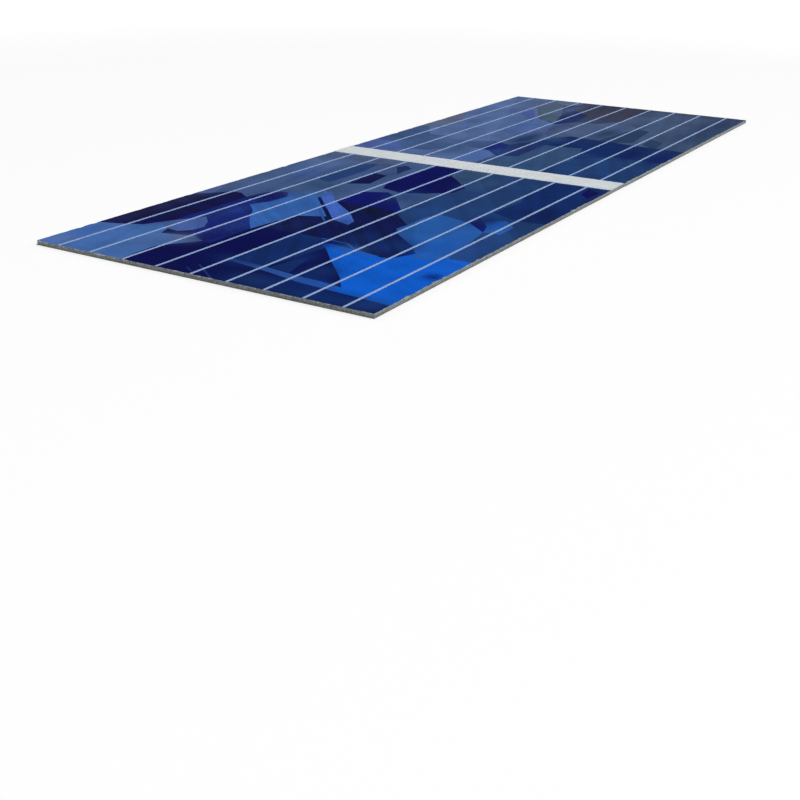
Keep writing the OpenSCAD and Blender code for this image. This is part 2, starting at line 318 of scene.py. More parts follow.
# %% [markdown]
# ## The finish of the printed silver
# Fired silver paste is a matte, nearly white crust of tiny grains. The band and the lines are the
# same paste, but the band is thick enough to look white, while a line shows a little grey. Both get
# the faint weave of the printing screen, and the clouds of a paste that dried unevenly. The weave is
# two wave textures across each other, and one of scale 1 has about three waves to the millimetre.

# %% Material of the silver
def silver(name, screen_colour, weave_mm, contrast):
    """Matte fired silver with the marks of the screen weave_mm apart, as rows of soft waves."""
    material, tree, shader = new_material(name, Metallic=0.0, Specular_IOR_Level=0.35)
    where = place_mm(tree)
    turned = add(tree, "ShaderNodeMapping", {"Vector": where, "Rotation": (0, 0, math.radians(22.5))})
    waves_at_scale_1 = 3.14159
    wave = {"Vector": turned.outputs[0], "Scale": 1 / weave_mm / waves_at_scale_1, "Distortion": 1.0}
    warp = add(tree, "ShaderNodeTexWave", wave, bands_direction="X").outputs["Fac"]
    weft = add(tree, "ShaderNodeTexWave", wave, bands_direction="Y").outputs["Fac"]
    weave = times(tree, warp, weft)
    clouds = spread(tree, noise(tree, where, 1.3, 4, 0.6), 1 - contrast, 1 + contrast)
    grain = spread(tree, noise(tree, where, 22, 3, 0.6), 1 - contrast, 1 + contrast)
    shade = times(tree, clouds, grain, spread(tree, weave, 1 - 0.4 * contrast, 1, 0, 1))
    tree.links.new(scaled(tree, linear(*screen_colour)[:3], shade), shader.inputs["Base Color"])
    tree.links.new(spread(tree, grain, 0.5, 0.7, 0.9, 1.1), shader.inputs["Roughness"])
    rough = bump(tree, noise(tree, where, 24, 3), 0.004)
    tree.links.new(bump(tree, weave, 0.002, 1.0, rough), shader.inputs["Normal"])
    print(name, "has", len(tree.nodes), "nodes")
    return material


band_silver = silver("silver_band", (233, 240, 244), 0.07, 0.06)
line_silver = silver("silver_line", (160, 186, 228), 0.07, 0.06)
strip_silver = silver("silver_strip", (186, 187, 183), 0.09, 0.09)

# %% [markdown]
# ## The finish of the aluminium paste
# The rear is printed with aluminium paste, which fires to a dull, slightly bluish grey with small
# domes and a sprinkle of bright grains. Noise gives the domes and a sparse Voronoi pattern the grains.

# %% Material of the aluminium paste
paste, tree, shader = new_material("aluminium_paste", Metallic=0.0, Specular_IOR_Level=0.4)
where = place_mm(tree)
mottle = spread(tree, noise(tree, where, 0.6, 5, 0.6), 0.86, 1.12)
grain = spread(tree, noise(tree, where, 11, 4, 0.7), 0.82, 1.18)
specks = add(tree, "ShaderNodeTexVoronoi", {"Vector": where, "Scale": 7.0}).outputs["Distance"]
bright = spread(tree, specks, 1.35, 1.0, 0.05, 0.16)
shade = times(tree, mottle, grain, bright)
tree.links.new(scaled(tree, linear(138, 140, 143)[:3], shade), shader.inputs["Base Color"])
tree.links.new(spread(tree, grain, 0.5, 0.75, 0.8, 1.2), shader.inputs["Roughness"])
tree.links.new(bump(tree, noise(tree, where, 9, 4, 0.7), 0.012), shader.inputs["Normal"])
print("paste material has", len(tree.nodes), "nodes")

# %% [markdown]
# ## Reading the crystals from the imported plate
# The crystals are flat fields of the plate's front, each a few thousandths of a millimetre deeper or
# higher than its neighbours. Their outlines could be typed in again, but then two lists would have to
# agree. Instead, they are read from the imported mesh. Its triangles that face straight up are the
# crystals. Corners at the same place get the same number, so that neighbours can be found.

# %% Top triangles of the plate
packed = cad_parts["wafer"].data
packed.calc_loop_triangles()
packed_points = np.empty(3 * len(packed.vertices), np.float32)
packed.vertices.foreach_get("co", packed_points)
point_at = np.empty(3 * len(packed.loop_triangles), np.int32)
packed.loop_triangles.foreach_get("vertices", point_at)
corners = (packed_points.reshape(-1, 3) / MM).astype(float)[point_at.reshape(-1, 3)]
facing = np.cross(corners[:, 1] - corners[:, 0], corners[:, 2] - corners[:, 0])
corners = corners[facing[:, 2] > 0.99 * np.linalg.norm(facing, axis=1)]
field_z = corners[:, :, 2].mean(1)
flat, triangles = np.unique(np.round(corners[:, :, :2].reshape(-1, 2), 4), axis=0, return_inverse=True)
triangles = triangles.reshape(-1, 3)
print(len(triangles), "top triangles at heights", np.unique(np.round(field_z, 4)))

# %% [markdown]
# ## Grouping them into crystals
# Two triangles belong to one crystal if they share an edge and lie at the same height. Each triangle
# starts as its own group and takes over the lowest number among its neighbours until nothing changes.
# The sides that no two level triangles share are the borders of the crystals.

# %% Crystals and their borders
def shared_edges(triangles):
    """Pairs of triangle sides (three times the triangle, plus the side) that lie on one edge."""
    sides = np.sort(np.stack([triangles, np.roll(triangles, -1, 1)], 2).reshape(-1, 2), 1)
    key = sides[:, 0] * (triangles.max() + 1) + sides[:, 1]
    order = np.argsort(key, kind="stable")
    twice = key[order][:-1] == key[order][1:]
    return order[:-1][twice], order[1:][twice]


side_a, side_b = shared_edges(triangles)
same_height = 1e-4
level_with = np.abs(field_z[side_a // 3] - field_z[side_b // 3]) < same_height
side_a, side_b = side_a[level_with], side_b[level_with]
is_border = np.ones(3 * len(triangles), bool)
is_border[np.concatenate([side_a, side_b])] = False
border = np.stack([triangles.ravel(), np.roll(triangles, -1, 1).ravel()], 1)[is_border]
border = np.unique(np.sort(border, 1), axis=0)
side_a, side_b = side_a // 3, side_b // 3
crystal = np.arange(len(triangles))
while True:
    before = crystal.copy()
    np.minimum.at(crystal, side_a, before[side_b])
    np.minimum.at(crystal, side_b, before[side_a])
    if (crystal == before).all():
        break
print(len(np.unique(crystal)), "crystals with", len(border), "border sides")


def triangle_under(x, y):
    """The number of the top triangle under each point: the point is left of all three sides."""
    a, b = flat[triangles], flat[np.roll(triangles, -1, 1)]
    side = b - a
    left = side[..., 0] * (np.reshape(y, (-1, 1, 1)) - a[..., 1]) - side[..., 1] * (
        np.reshape(x, (-1, 1, 1)) - a[..., 0])
    return left.min(2).argmax(1)


# %% [markdown]
# ## The tone of each crystal
# Nearly sixty fields need a tone, but the eye sorts them into fewer than thirty, so those get names
# first, as a painter's tray would have them. Then one point inside a crystal picks it, measured in
# millimetres from the corner of the cell at -X, -Y. With it go the name of its tone, the direction of
# its twin bands in degrees, how many there are to the millimetre, and how strongly they show. A
# crystal without a line of its own stays navy.

# %% Tones
# The pale blues powder, haze and pale_slate, used most in the far half, hold a painted reflection of the
# pale surroundings along with the crystals' own tones.
blues = {
    "navy": (2, 8, 80), "midnight": (3, 9, 90), "ink": (4, 18, 80), "plum": (14, 17, 76),
    "pitch": (6, 16, 40), "cobalt": (2, 15, 114), "royal": (16, 34, 126), "night_teal": (12, 45, 108),
    "dusk_blue": (32, 50, 110), "teal": (32, 66, 121), "deep_sea": (44, 68, 106), "sea": (54, 86, 130),
    "moss": (82, 103, 126), "slate": (68, 94, 142), "pale_slate": (84, 104, 146),
    "haze": (102, 114, 146), "powder": (91, 116, 169), "violet": (84, 102, 171),
    "lilac": (74, 102, 170), "steel": (72, 115, 185), "thread": (46, 90, 168), "azure": (54, 105, 184),
    "mid_blue": (38, 97, 178), "vivid": (9, 99, 218), "twin": (70, 112, 212), "dusk": (64, 66, 91),
    "storm": (74, 95, 132),
}
crystal_tones = [
    # near half, from the short end inwards
    (2, 16, "steel", 15, 0.5, 0.05), (8, 17.5, "plum", 75, 0.6, 0.15),
    (6.2, 15.2, "lilac", 40, 0.8, 0.05), (4.85, 14.6, "ink", 0, 1, 0),
    (11, 15.5, "royal", 60, 0.7, 0.10), (12, 13.5, "azure", 52, 1.2, 0.06),
    (10, 8, "ink", 42, 0.9, 0.16), (13, 10.5, "twin", 42, 2.0, 0.05),
    (15.5, 10, "cobalt", 20, 0.8, 0.10), (20, 14, "slate", 8, 0.5, 0.06),
    (24.8, 8.6, "sea", 8, 0.5, 0.06), (20, 6, "teal", 35, 0.6, 0.08),
    (12, 4, "mid_blue", 30, 0.6, 0.05), (5, 2, "vivid", 70, 0.5, 0.04), (2.2, 6, "thread", 80, 1, 0.05),
    (5, 8.5, "night_teal", 30, 0.8, 0.10), (3.5, 6.7, "night_teal", 0, 1, 0),
    (22, 10.5, "midnight", 5, 0.8, 0.10), (19.5, 12.9, "ink", 0, 1, 0),
    (23, 12.6, "dusk_blue", 0, 1, 0), (14.1, 2.7, "cobalt", 0, 1, 0),
    (14.3, 1.7, "mid_blue", 20, 1, 0.05), (20, 1.5, "night_teal", 25, 0.6, 0.08),
    (23.5, 0.8, "midnight", 0, 1, 0), (7.85, 7.3, "thread", 0, 1, 0),
    (12.8, 19, "violet", 30, 0.6, 0.05), (20, 15, "teal", 10, 0.8, 0.05),
    (24.5, 17, "pale_slate", 60, 0.5, 0.06), (13.4, 11.85, "ink", 0, 1, 0),
    (11.4, 10.45, "thread", 0, 1, 0), (0.68, 9.18, "dusk_blue", 0, 1, 0),
    (0.55, 10, "dusk_blue", 0, 1, 0),
    # far half, from the silver band outwards; its pale tones are partly painted reflection
    (28, 18, "violet", 25, 0.5, 0.06), (32, 17.5, "slate", 70, 0.6, 0.05),
    (36, 16, "powder", 30, 0.6, 0.05), (28.5, 12, "powder", 10, 0.6, 0.06),
    (32.5, 11.2, "royal", 0, 1, 0), (31.5, 9.3, "dusk_blue", 45, 0.8, 0.08),
    (30, 7.5, "sea", 20, 0.6, 0.06), (36.5, 7, "night_teal", 70, 0.7, 0.08),
    (29, 3, "teal", 25, 0.6, 0.08), (35, 3, "night_teal", 80, 0.6, 0.08),
    (44, 16.5, "powder", 20, 0.5, 0.06), (40, 18.3, "haze", 0, 1, 0),
    (46, 11.4, "dusk_blue", 35, 0.8, 0.06), (47, 13.6, "moss", 30, 0.5, 0.05),
    (44.5, 14.3, "violet", 0, 1, 0), (49, 10.5, "dusk", 10, 0.7, 0.05),
    (41, 8, "pale_slate", 55, 0.6, 0.06), (41, 5, "deep_sea", 0, 1, 0), (47, 4, "storm", 15, 0.5, 0.07),
    (51.4, 14.2, "haze", 0, 1, 0), (39.5, 2.8, "deep_sea", 0, 1, 0),
]
print(len(blues), "blues,", len(crystal_tones), "marked crystals")

# %% [markdown]
# ## From the list to the triangles
# Every triangle of the crystal under a marked point gets that crystal's tone and twin bands. Each
# crystal also leans by chance, by about two degrees, which tips its normal but moves no point.

# %% Tone, twin bands and tilt of each triangle
tone_of = np.tile(linear(*blues["navy"])[:3], (len(triangles), 1))
twin_of = np.zeros((len(triangles), 3))
marks = np.array([row[:2] for row in crystal_tones], float) - [half_x, half_y]
for number, (_, _, blue, turn, per_mm, strength) in zip(triangle_under(*marks.T), crystal_tones):
    same = crystal == crystal[number]
    tone_of[same] = linear(*blues[blue])[:3]
    turn = math.radians(turn + 90)
    twin_of[same] = (per_mm * math.cos(turn), per_mm * math.sin(turn), strength)
usual_lean = 0.035
lean = np.random.default_rng(5).normal(0, usual_lean, (len(triangles), 3)) * [1, 1, 0]
tilt_of = lean[crystal]
toned = np.unique(crystal[triangle_under(*marks.T)])
print(len(toned), "crystals have a tone of their own")

# %% [markdown]
# ## The ragged rim
# A cell that is scored by a laser and snapped has no sharp top edge: small flakes of silicon break
# off with their blue coat, which leaves a thin bare line all round. The rim is a function of one
# parameter, the way round the plate in millimetres. A little constant wear, two sizes of wandering
# and many round bites together say how far in the blue front stops. Close to a corner the insets of
# the two sides would cross, so only the corner's own point is kept there.

# %% Rim functions
loop = 4 * (half_x + half_y)
corner_s = np.cumsum([0, 2 * half_x, 2 * half_y, 2 * half_x, 2 * half_y])
wear, slow_mm, quick_mm, bite_count = 0.026, 0.2, 0.05, 120
rng = np.random.default_rng(11)
bite_at, bite_w = rng.uniform(0, loop, bite_count), rng.uniform(0.06, 0.28, bite_count)
bite_d = bite_w * rng.uniform(0.1, 0.3, bite_count)


def edge_point(s, inset):
    """The point s mm round the plate from its corner at -X, -Y, moved in by inset mm."""
    x = np.interp(s, corner_s, [-half_x, half_x, half_x, -half_x, -half_x])
    y = np.interp(s, corner_s, [-half_y, -half_y, half_y, half_y, -half_y])
    return np.clip(x, inset - half_x, half_x - inset), np.clip(y, inset - half_y, half_y - inset)


def way_between(s, t):
    """The shorter of the two ways round from s to t."""
    return np.abs((s - t + loop / 2) % loop - loop / 2)


def wander_round(s, step_mm, seed):
    """A random value at each step_mm of the way round, joined by S-curves, which meets itself again."""
    return wander(s / step_mm, seed, round(loop / step_mm))


def rim_inset(s):
    """Wear, plus slow and quick wandering, plus the deepest of the round bites that reach s."""
    s = np.atleast_1d(s) % loop
    away = way_between(s[:, None], bite_at) / bite_w
    bites = (bite_d * np.sqrt(np.clip(1 - away**2, 0, None))).max(1)
    return wear + 0.008 * wander_round(s, slow_mm, 1) + 0.005 * wander_round(s, quick_mm, 2) + bites


rim_s = np.arange(0, loop, quick_mm)
to_corner = way_between(rim_s[:, None], corner_s).min(1)
corner_room = 1.5 * rim_inset(rim_s)
rim_s = rim_s[(to_corner < 1e-6) | (to_corner > corner_room)]
rim = np.stack(edge_point(rim_s, rim_inset(rim_s)), 1)
print("rim of", len(rim), "points, inset from", rim_inset(rim_s).min().round(3), "to",
      rim_inset(rim_s).max().round(3), "mm")

# %% [markdown]
# ## Points inside the front
# The blues of the front drift softly, and large or thin triangles would show that drift as streaks.
# Extra points along the crystals' borders, and in a net between them, make all triangles small and
# even. Each point of the net is shifted a little by chance, so that no rows show, and those that
# would crowd a border are left out.

# %% Border points and net
spacing, shift, margin = 0.36, 0.05, 0.2
too_near = 0.3 * spacing
corner_a, run = flat[border[:, 0]], flat[border[:, 1]] - flat[border[:, 0]]
parts = np.ceil(np.linalg.norm(run, axis=1) / spacing).astype(int)
which, step = np.nonzero(np.arange(1, parts.max()) < parts[:, None])
on_border = corner_a[which] + run[which] * ((step + 1) / parts[which])[:, None]

net_x, net_y = np.meshgrid(np.arange(spacing - half_x, half_x - margin, spacing),
                           np.arange(spacing - half_y, half_y - margin, spacing))
net_x, net_y = net_x.ravel(), net_y.ravel()
net = np.stack([net_x + shift * hills(net_x * 3, net_y * 3, 3),
                net_y + shift * hills(net_x * 3, net_y * 3, 4)], 1)
share = np.clip(((net[:, None] - corner_a) * run).sum(2) / (run**2).sum(1), 0, 1)
to_border = np.linalg.norm(net[:, None] - corner_a - share[..., None] * run, axis=2).min(1)
net = net[to_border > too_near]
print(len(on_border), "points along the borders and", len(net), "in the net")

# %% [markdown]
# ## Cutting the front along rim and crystals
# The front has to follow the crystals' straight borders and the ragged rim at once. Booleans could
# do that, but a constrained Delaunay triangulation is safer: it takes all the lines as fixed sides and
# returns triangles that never cross one. It also says which of them lie inside the rim, and only
# those are the front.

# %% Triangulate the front
given = np.concatenate([flat, rim, on_border, net])
rim_face = (len(flat) + np.arange(len(rim))).tolist()
keep_all, weld_mm = 0, 1e-5
spots, _, pieces, _, _, inside = delaunay_2d_cdt(given.tolist(), border.tolist(), [rim_face], keep_all,
                                                 weld_mm)
spots = np.array([tuple(spot) for spot in spots])
front = np.array(pieces)[[0 in owners for owners in inside]]
print(len(front), "front triangles from", len(given), "points")

# %% [markdown]
# ## Heights of the front
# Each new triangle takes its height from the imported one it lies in. Heights are counted in whole
# units below the front. A spot where crystals of several heights meet becomes several points, one
# for each height, and its number times a thousand plus the height is the key that tells them apart.

# %% Points of the front
middles = spots[front].mean(1)
owner = np.concatenate([triangle_under(*some.T) for some in np.array_split(middles, 10)])
unit, key_base = 0.0005, 1000
height_step = np.round((front_z - field_z[owner]) / unit).astype(int)
keys, front_points = np.unique(front * key_base + height_step[:, None], return_inverse=True)
front_points = front_points.reshape(-1, 3)
front_xyz = np.column_stack([spots[keys // key_base], front_z - (keys % key_base) * unit])
print(len(front_xyz), "points carry the front")

# %% [markdown]
# ## Walls of the steps
# Where a crystal stands higher than its neighbour, a low wall closes the step. Both triangles of a
# shared side know their own height, so the wall is the side at one height and again at the other.
# Where three crystals meet, a wall's upright side has the third one's height on it too. Points of
# one spot are numbered in a row from the top down, so a fan of triangles takes in those between.

# %% Walls of the steps
one, two = shared_edges(front)
uneven = height_step[one // 3] != height_step[two // 3]
one, two = one[uneven], two[uneven]


def side_points(side):
    """The two points of a triangle's side, in the order in which the triangle goes round."""
    return front_points[side // 3, side % 3], front_points[side // 3, (side % 3 + 1) % 3]


def fans(tip, top, foot):
    """Triangles from each tip to all steps of the upright from top to foot, and their fan's number."""
    steps = np.abs(foot - top)
    fan = np.repeat(np.arange(len(tip)), steps)
    step = np.arange(len(fan)) - np.repeat(np.cumsum(steps) - steps, steps)
    way = np.sign(foot - top)[fan]
    here = top[fan] + way * step
    return np.stack([tip[fan], here, here + way], 1), fan


a_one, b_one = side_points(one)
a_two, b_two = side_points(two)
wall_a, fan_a = fans(b_one, a_one, b_two)
wall_b, fan_b = fans(b_two, a_two, b_one)
walls = np.concatenate([wall_a, wall_b])
wall_owner = owner[one // 3][np.concatenate([fan_a, fan_b])]
print(len(walls), "wall triangles between crystals")

# %% [markdown]
# ## Walking round the front
# The sides of the front that only one triangle has are its outline. Each one's start is turned into
# the way round the plate, from the nearest of the four edges, and the sides are sorted by it. A point
# on the diagonal of a corner is equally near to two edges, so it gets the corner's own way.

# %% Open sides in their order
lone = np.ones(3 * len(front), bool)
lone[np.concatenate(shared_edges(front))] = False
open_sides = np.flatnonzero(lone)
start, end = side_points(open_sides)
sx, sy = front_xyz[start, 0], front_xyz[start, 1]
gaps = np.stack([half_y + sy, half_x - sx, half_y - sy, half_x + sx], 1)
ways = np.stack([sx + half_x, sy + half_y, half_x - sx, half_y - sy], 1) + corner_s[:4]
round_s = np.take_along_axis(ways, gaps.argmin(1)[:, None], 1)[:, 0]
nearest, second = np.sort(gaps, 1)[:, :2].T
nearest_corner = corner_s[np.abs(round_s[:, None] - corner_s).argmin(1)] % loop
same_gap, corner_zone = 2e-5, 0.5
round_s = np.where((second - nearest < same_gap) & (second < corner_zone), nearest_corner, round_s)
order = np.argsort(round_s)
start, end, round_s = start[order], end[order], round_s[order]
columns = len(start)
print(columns, "open sides on a way of", round(float(loop), 2), "mm")

# %% [markdown]
# ## The cut edge
# Round the front runs the edge, a surface of two parameters: the way round, and the row from the rim
# down to the rear. First comes the broken bevel under the rim, which is deepest where the rim stops
# furthest in, then the snapped face with its small ripples, then the laser's score, which leans in
# and is striped from top to bottom by the laser's pulses. Its columns start at the rim's own points,
# so that front and edge close.

# %% Points of the cut edge
chip_mm, pulse_mm = 0.1, 0.035
least_bevel, face_inset, last_inset = 0.006, 0.006, 0.004
snapped_rows, scored_rows = 7, 4
chips = np.abs(wander_round(round_s, chip_mm, 7))
bevel_z = front_z - least_bevel - 0.55 * rim_inset(round_s) - 0.01 * chips
rows_z = np.concatenate([
    bevel_z + (score_z - bevel_z) * np.linspace(0, 1, snapped_rows)[:, None],
    np.repeat(np.linspace(score_z, silicon_z, scored_rows + 1)[1:, None], columns, 1)])
ripple = hills(round_s / 0.06, rows_z / 0.035, 8) + 0.6 * hills(round_s / 0.3, rows_z / 0.05, 9)
pulses = wander_round(round_s, pulse_mm, 10)
lean_in = score_run * np.clip(1 - rows_z / score_z, 0, 1)
scored = rows_z < score_z + 1e-6
rows_inset = lean_in + face_inset + 0.0035 * ripple + 0.002 * pulses * scored
rows_inset[-1] = lean_in[-1] + last_inset
edge_xy = np.stack(edge_point(round_s, rows_inset), 2)
edge_xyz = np.concatenate([edge_xy, rows_z[:, :, None]], 2).reshape(-1, 3)
print("cut edge of", columns, "columns and", len(rows_z), "rows")

# %% [markdown]
# ## One closed plate
# Where two crystals meet at the rim, the outline steps up or down, and a fan of triangles closes each
# such slit. The last row is joined to a point in the middle of the rear, which the pastes cover, so
# it is never seen. The front and its walls get the coat, and all else is bare silicon.

# %% The plate
first = len(front_xyz)
ring = first + np.arange(columns)
after = np.roll(ring, -1)
bevel = np.stack([end, start, ring, after], 1)
came_in = np.roll(end, 1)
slits = fans(ring, start, came_in)[0]
down = np.arange(len(rows_z) - 1)[:, None] * columns
edge = np.stack([down + after, down + ring, down + ring + columns, down + after + columns], 2)
last = ring + (len(rows_z) - 1) * columns
centre = first + len(edge_xyz)
rear = np.stack([np.roll(last, -1), last, np.full(columns, centre)], 1)
plate_points = np.concatenate([front_xyz, edge_xyz, [[0, 0, silicon_z]]])
groups = [front_points, walls, bevel, slits, edge.reshape(-1, 4), rear]
plate = make_piece("silicon_plate", plate_points, [row for group in groups for row in group.tolist()],
                   [coat, bare], "wafer", smooth_below=30)
is_bare = np.repeat([0, 0, 1, 1, 1, 1], [len(group) for group in groups])
plate.data.polygons.foreach_set("material_index", is_bare.astype(np.int32))

# %% [markdown]
# ## Soft changes of tone
# Inside one crystal the coat drifts from one blue to another. The pale washes near the corner at
# 0, 19 mm and in the far half also hold a painted reflection of the pale surroundings. A wash is a round
# soft spot with its own tone. Its weight is a bell curve of the distance from its centre, which has
# nearly gone at twice its width. Each wash is mixed over those before it, as a painter would lay them.

# %% Washes
washes = [
    # centre, width along x and y, tone, strength
    # near half; the haze and powder washes by the corner at 0, 19 mm are partly painted reflection
    (4.2, 13.5, 0.7, 0.8, "haze", 0.7), (1.0, 18.2, 0.9, 0.7, "powder", 0.7),
    (2.5, 18.1, 0.8, 0.5, "twin", 0.4), (3.0, 14.6, 1.2, 0.5, "powder", 0.5),
    (7.6, 18.5, 3.4, 0.5, "dusk", 0.22), (5.7, 17.0, 0.8, 0.7, "midnight", 0.7),
    (5.2, 12.6, 1.2, 0.7, "midnight", 0.9), (9.6, 14.8, 1.5, 0.5, "thread", 0.35),
    (13.2, 15.0, 1.0, 0.7, "midnight", 0.9), (14.8, 14.2, 0.8, 0.7, "slate", 0.8),
    (8.8, 6.4, 1.3, 0.8, "night_teal", 0.8), (9.2, 10.5, 1.4, 0.7, "dusk_blue", 0.3),
    (15.3, 12.8, 0.8, 0.6, "slate", 0.6), (8.6, 4.4, 1.2, 1.2, "night_teal", 1.0),
    (4.8, 6.8, 1.0, 0.6, "night_teal", 0.7), (11.0, 8.8, 0.5, 0.5, "night_teal", 0.6),
    (19.3, 16.8, 1.4, 0.7, "thread", 0.6), (16.8, 14.4, 1.2, 0.8, "sea", 0.8),
    (17.2, 8.8, 1.2, 1.0, "teal", 0.8), (21.6, 17.2, 2.2, 1.4, "powder", 0.8),
    (16.0, 18.6, 4.0, 0.7, "pale_slate", 0.6), (23.8, 16.0, 0.8, 2.0, "dusk", 0.3),
    (22.6, 6.6, 1.8, 0.9, "sea", 0.8), (15.0, 6.4, 0.9, 0.9, "mid_blue", 0.3),
    (10.0, 0.8, 2.6, 1.0, "thread", 0.35), (9.5, 2.4, 1.6, 0.9, "vivid", 0.4),
    (2.8, 8.9, 0.7, 1.3, "night_teal", 0.8), (2.0, 4.3, 0.5, 1.2, "vivid", 0.3),
    (0.5, 3.4, 1.0, 3.8, "night_teal", 1.0), (3.4, 4.9, 1.0, 0.8, "night_teal", 1.0),
    (18.0, 1.0, 1.6, 0.8, "ink", 0.6), (13.6, 8.7, 0.7, 1.3, "pitch", 0.8),
    (15.3, 2.8, 1.0, 0.8, "night_teal", 1.0), (14.6, 1.9, 0.7, 0.4, "vivid", 0.5),
    (21.2, 12.5, 1.2, 0.5, "ink", 0.4), (5.5, 0.5, 0.45, 0.34, "cobalt", 1.0),
    # far half; its pale washes, haze and powder above all, are partly painted reflection
    (49.5, 16.5, 2.0, 1.6, "haze", 0.5), (40.0, 12.8, 2.2, 0.9, "azure", 0.4),
    (28.8, 10.8, 1.3, 0.8, "azure", 0.6), (30.2, 12.8, 1.8, 0.8, "sea", 0.8),
    (33.4, 14.6, 1.5, 1.2, "powder", 1.0), (36.0, 10.6, 2.8, 0.9, "deep_sea", 1.0),
    (41.0, 10.6, 2.6, 0.7, "dusk_blue", 0.4), (36.2, 8.8, 1.5, 0.7, "teal", 0.7),
    (33.2, 8.7, 1.4, 0.5, "dusk_blue", 0.5), (29.0, 6.8, 1.5, 0.8, "teal", 0.4),
    (32.6, 5.0, 1.2, 0.8, "teal", 0.6), (40.4, 6.7, 3.0, 0.9, "deep_sea", 0.9),
    (44.5, 1.0, 7.0, 1.7, "deep_sea", 0.8), (48.4, 12.7, 2.6, 0.6, "pale_slate", 0.9),
    (44.9, 9.2, 1.2, 1.4, "slate", 0.4), (34.8, 2.6, 1.8, 0.5, "midnight", 0.6),
    (34.8, 0.7, 2.4, 0.5, "midnight", 0.6), (40.0, 16.4, 3.5, 0.9, "sea", 0.3),
    (51.6, 4.0, 1.2, 5.0, "dusk", 0.45),
    # over the others, in both halves
    (35.2, 10.6, 1.6, 0.7, "night_teal", 0.5), (37.2, 8.7, 0.9, 0.6, "sea", 0.5),
    (31.2, 10.2, 1.0, 0.8, "azure", 0.3), (7.1, 5.9, 0.6, 0.9, "azure", 0.5),
    (7.0, 7.3, 0.5, 0.5, "royal", 0.9), (1.0, 0.7, 0.9, 0.8, "thread", 0.3),
    (1.0, 6.8, 0.8, 1.2, "teal", 0.4), (7.4, 12.8, 1.2, 0.6, "thread", 0.3),
    (49.0, 0.9, 2.6, 1.0, "plum", 0.4), (29.0, 16.8, 1.3, 0.9, "steel", 0.5),
]


def with_washes(x, y, tone):
    """Mixes each wash into the tone by a bell curve of the distance from its centre."""
    for cx, cy, wide, high, blue, strength in washes:
        away = ((x + half_x - cx) / wide) ** 2 + ((y + half_y - cy) / high) ** 2
        weight = (strength * np.exp(-away))[:, None]
        tone = tone * (1 - weight) + np.array(linear(*blues[blue])[:3]) * weight
    return tone


print(len(washes), "washes")

# %% [markdown]
# ## Giving the tones to the mesh
# The material reads three attributes. They sit on the corners of the faces and not on the points,
# because a wall has points of two crystals but should show the tone of one. A corner of the front
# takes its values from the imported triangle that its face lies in, and a corner of a wall those of one
# crystal beside it. Bare silicon reads none of them. Only the front leans, so the tilt of all else is
# set to nothing.

# %% Fill the tone, twin and tilt attributes
def fill(name, kind, values):
    """A value for each corner of each face, in the mesh's own order."""
    attribute = plate.data.attributes.new(name, kind, "CORNER")
    attribute.data.foreach_set("color" if kind == "FLOAT_COLOR" else "vector", values.ravel())


corner_point = np.empty(len(plate.data.loops), np.int32)
plate.data.loops.foreach_get("vertex_index", corner_point)
corner_x, corner_y = plate_points[corner_point, 0], plate_points[corner_point, 1]
source = np.zeros(len(corner_point), int)
source[: 3 * len(front)] = np.repeat(owner, 3)
source[3 * len(front): 3 * (len(front) + len(walls))] = np.repeat(wall_owner, 3)
tones = with_washes(corner_x, corner_y, tone_of[source])
fill("tone", "FLOAT_COLOR", np.column_stack([tones, np.ones(len(tones))]))
fill("twin", "FLOAT_VECTOR", twin_of[source])
tilts = tilt_of[source]
tilts[3 * len(front):] = 0
fill("tilt", "FLOAT_VECTOR", tilts)
print("tones run from", tones.min(0).round(3), "to", tones.max(0).round(3), "in linear light")

# %% [markdown]
# ## The silver lines
# Each line is a low dome of paste that was pushed through a thin slit in a screen of fine wires. The
# wires leave its sides wavy and its crown knotty. A line is a profile carried along X: a low arch,
# whose width and height wander, on a root that reaches down to the deepest crystal. It ends where the
# silicon under it broke. The band needs the places of the lines too, so they are kept in a list.

# %% Lines
line_count = sum(name.startswith("finger_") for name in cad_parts)
line_boxes = [box_mm(f"finger_{number}") for number in range(1, line_count + 1)]
line_y = [(low[1] + high[1]) / 2 for low, high in line_boxes]
ring_mm, arch_points = 0.05, 9


def printed_line(number):
    """Rings of points along X: y and z follow an arch of wandering width and height, then the root."""
    low, high = line_boxes[number - 1]
    middle, reach = line_y[number - 1], (high[1] - low[1]) / 2
    left = -half_x + rim_inset(4 * half_x + 2 * half_y + half_y - middle)[0]
    right = half_x - rim_inset(2 * half_x + middle + half_y)[0]
    x = np.linspace(left, right, round(2 * half_x / ring_mm) + 1)[:, None]
    angle = np.linspace(0, np.pi, arch_points)
    side = np.where(angle < np.pi / 2, 1, -1)
    waves = np.where(side > 0, wander(x / 0.09, 20 + number), wander(x / 0.09, 40 + number))
    slow = np.where(side > 0, wander(x / 0.8, 60 + number), wander(x / 0.8, 80 + number))
    half = reach * (0.94 + 0.03 * waves + 0.02 * slow)
    knots = 0.93 + 0.03 * wander(x / 0.07, 100 + number) + 0.03 * wander(x / 0.5, 120 + number)
    y = middle + half * np.cos(angle)
    z = front_z + (high[2] - front_z) * knots * np.sin(angle) ** 0.8
    root = np.full((len(x), 1), root_z)
    y = np.concatenate([y, y[:, -1:], y[:, :1]], 1)
    z = np.concatenate([z, root, root], 1)
    return np.stack([np.broadcast_to(x, y.shape), y, z], 2)


def tube_faces(rings, around):
    """The faces of a tube whose rings close on themselves, with one face on each end."""
    here = np.arange(rings - 1)[:, None] * around + np.arange(around)
    beside = np.arange(rings - 1)[:, None] * around + np.roll(np.arange(around), -1)
    faces = np.stack([here, beside, beside + around, here + around], 2).reshape(-1, 4).tolist()
    return faces + [list(range(around))[::-1], list(range((rings - 1) * around, rings * around))]


for number in range(1, line_count + 1):
    rings = printed_line(number)
    make_piece(f"silver_line_{number}", rings.reshape(-1, 3), tube_faces(*rings.shape[:2]),
               [line_silver], f"finger_{number}")

